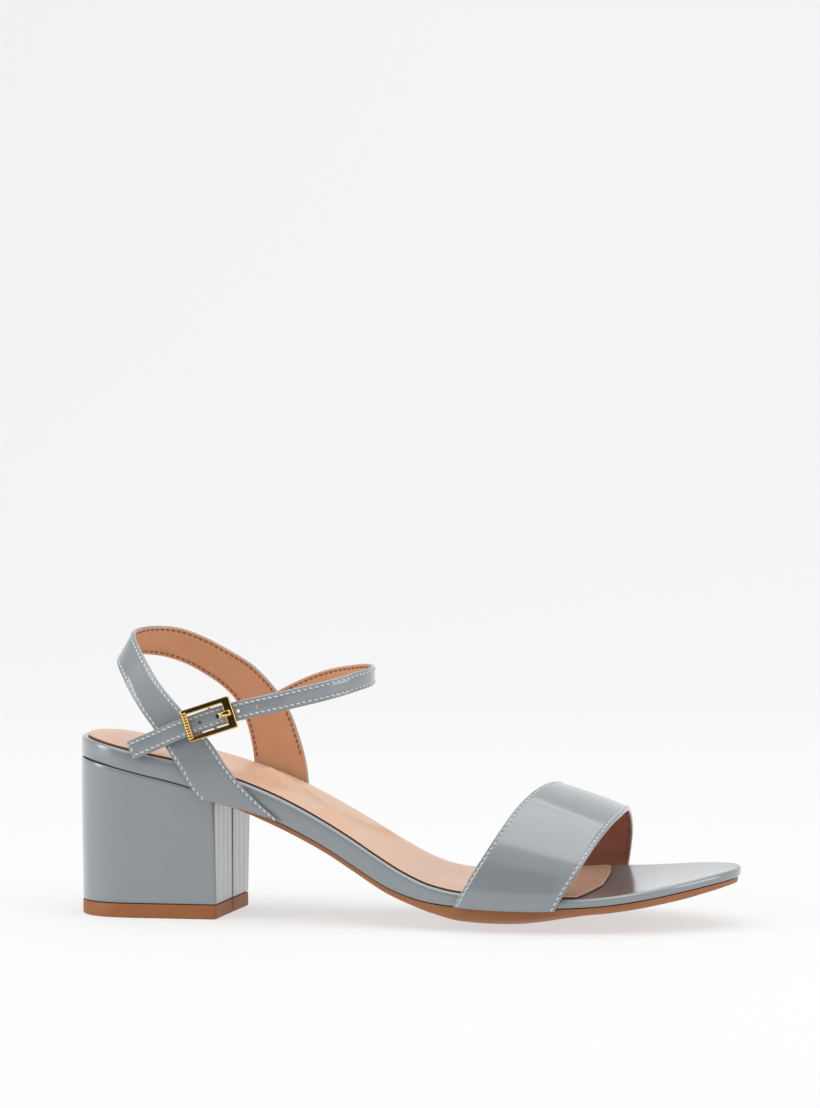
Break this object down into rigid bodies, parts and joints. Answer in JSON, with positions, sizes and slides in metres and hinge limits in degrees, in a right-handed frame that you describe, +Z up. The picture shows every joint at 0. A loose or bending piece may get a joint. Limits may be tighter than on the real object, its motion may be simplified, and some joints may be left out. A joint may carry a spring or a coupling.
{
  "type": "block heel sandal",
  "caption": "Open-toed block heel sandal for the right foot, with a wide toe band, a heel strap and a narrow ankle strap that closes with a buckle.",
  "frame": {"origin": "floor plane, under the centre of the whole object's bounding box", "axes": "+X from the heel to the toe, +Y to the medial side (the left, as this is a right shoe), +Z up"},
  "size_m": [0.237, 0.0792, 0.102],
  "materials": {
    "patent_leather": "grey-blue patent leather, high gloss, over leather lining and board",
    "lining_leather": "smooth beige lining leather over thin foam, matt",
    "outsole_rubber": "tan resin-rubber sheet, semi-matt",
    "lift_rubber": "tan moulded lift, semi-matt",
    "buckle_metal": "pale gold plating, polished"
  },
  "bodies": {
    "root": {"outsole": "outsole_rubber", "footbed": "patent_leather", "sock_lining": "lining_leather", "heel_block": "patent_leather", "top_lift": "lift_rubber", "vamp_strap": "patent_leather", "heel_and_ankle_strap": "patent_leather", "buckle_frame": "buckle_metal", "buckle_prong": "buckle_metal", "buckle_chape": "patent_leather"}
  },
  "joints": []
}
